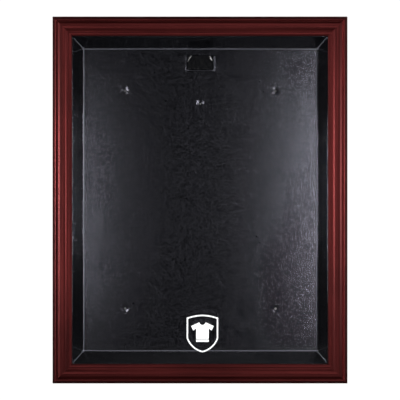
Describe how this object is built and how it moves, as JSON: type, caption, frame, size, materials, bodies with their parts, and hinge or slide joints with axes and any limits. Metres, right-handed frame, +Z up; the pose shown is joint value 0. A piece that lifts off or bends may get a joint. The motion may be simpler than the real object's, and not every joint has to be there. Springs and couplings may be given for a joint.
{
  "type": "jersey display frame",
  "caption": "Wall-hung display case for a jersey: dark red wooden door frame with a clear pane, hinged on a moulded black tray with a hook for a hanger rod.",
  "frame": {"origin": "centre of the four corner wall screws, on the wall plane at the back of the tray", "axes": "+Z up; the door faces -Y and +Y points into the wall; +X is the viewer's right, away from the hinges"},
  "size_m": [0.86, 0.076, 1.07],
  "materials": {
    "mahogany": "satin mahogany lacquer",
    "grained_black_plastic": "moulded, leather-grained floor",
    "gloss_black_plastic": "smooth moulded",
    "clear_acrylic": "clear polished sheet",
    "white_print": "screen print",
    "hinge_metal": "zinc plated",
    "steel": "zinc plated",
    "magnet_nickel": "nickel plated"
  },
  "bodies": {
    "case": {"backing_tray": "grained_black_plastic", "rod_hook": "gloss_black_plastic", "hook_screws": "steel", "hinge_case_leaf_upper": "hinge_metal", "hinge_case_leaf_lower": "hinge_metal", "hinge_pin_upper": "hinge_metal", "hinge_pin_lower": "hinge_metal", "case_hinge_screws": "steel", "strike_plate_upper": "steel", "strike_plate_lower": "steel", "strike_screws": "steel"},
    "door": {"frame_top_rail": "mahogany", "frame_bottom_rail": "mahogany", "frame_left_stile": "mahogany", "frame_right_stile": "mahogany", "corner_v_nails": "steel", "acrylic_panel": "clear_acrylic", "glazing_points": "steel", "emblem_print": "white_print", "hinge_door_leaf_upper": "hinge_metal", "hinge_door_leaf_lower": "hinge_metal", "door_hinge_screws": "steel", "catch_magnet_upper": "magnet_nickel", "catch_magnet_lower": "magnet_nickel"}
  },
  "joints": [
    {"name": "door_hinge", "type": "hinge", "parent": "case", "child": "door", "pos_m": [-0.422, -0.0513, 0], "axis": [0, 0, -1], "range_deg": [0, 120]}
  ]
}
